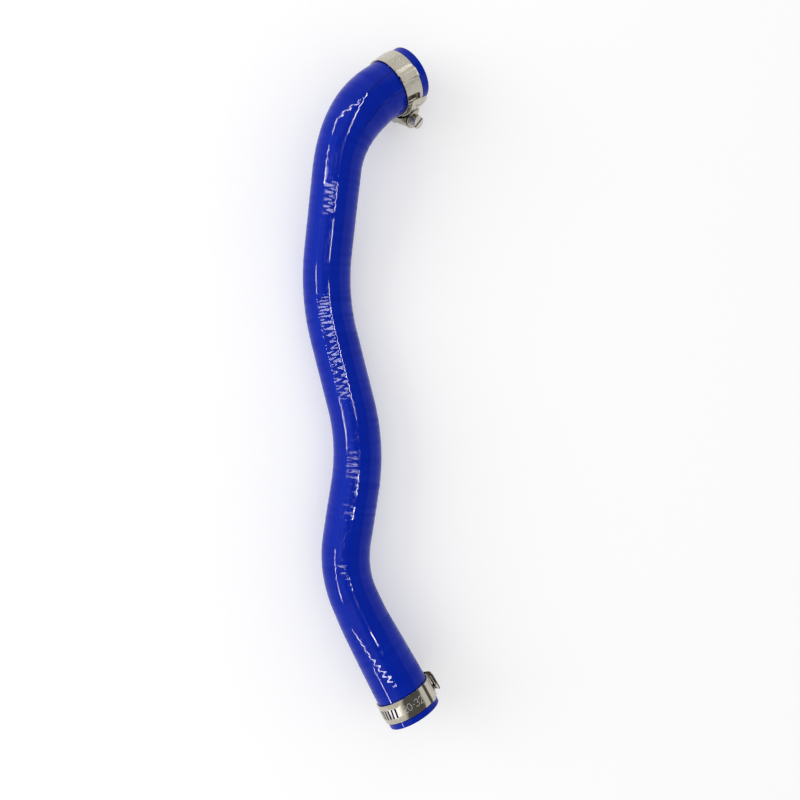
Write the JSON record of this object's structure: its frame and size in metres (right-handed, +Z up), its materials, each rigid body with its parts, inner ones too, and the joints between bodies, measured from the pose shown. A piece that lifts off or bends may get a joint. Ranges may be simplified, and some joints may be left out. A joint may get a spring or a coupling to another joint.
{
  "type": "silicone pcv hose assembly",
  "caption": "Moulded silicone crankcase breather hose with shallow bends, wider at its ends, each end held by a slotted worm-drive band clamp.",
  "frame": {"origin": "under the middle of the bounding box, on the surface that the hose lies on", "axes": "+Y along the hose's length, towards the end that bends aside; +Z up from the surface"},
  "size_m": [0.0702, 0.3416, 0.0386],
  "materials": {
    "silicone_hose": "glossy moulded blue silicone with fine wrap marks",
    "clamp_band": "bright rolled stainless strip",
    "clamp_saddle": "satin rolled stainless strip",
    "clamp_housing": "satin pressed stainless sheet",
    "clamp_screw": "bright rolled and headed steel"
  },
  "bodies": {
    "hose": {"hose": "silicone_hose", "upper_clamp_band": "clamp_band", "upper_clamp_saddle": "clamp_saddle", "upper_clamp_housing": "clamp_housing", "lower_clamp_band": "clamp_band", "lower_clamp_saddle": "clamp_saddle", "lower_clamp_housing": "clamp_housing"},
    "upper_screw": {"upper_clamp_screw": "clamp_screw"},
    "lower_screw": {"lower_clamp_screw": "clamp_screw"}
  },
  "joints": [
    {"name": "upper_screw_turn", "type": "hinge", "parent": "hose", "child": "upper_screw", "pos_m": [0.01678, 0.14078, 0.00724], "axis": [0.5564, -0.4067, 0.7245], "continuous": true},
    {"name": "lower_screw_turn", "type": "hinge", "parent": "hose", "child": "lower_screw", "pos_m": [0.01998, -0.15726, 0.00485], "axis": [0.8701, 0.479, 0.1159], "continuous": true}
  ]
}
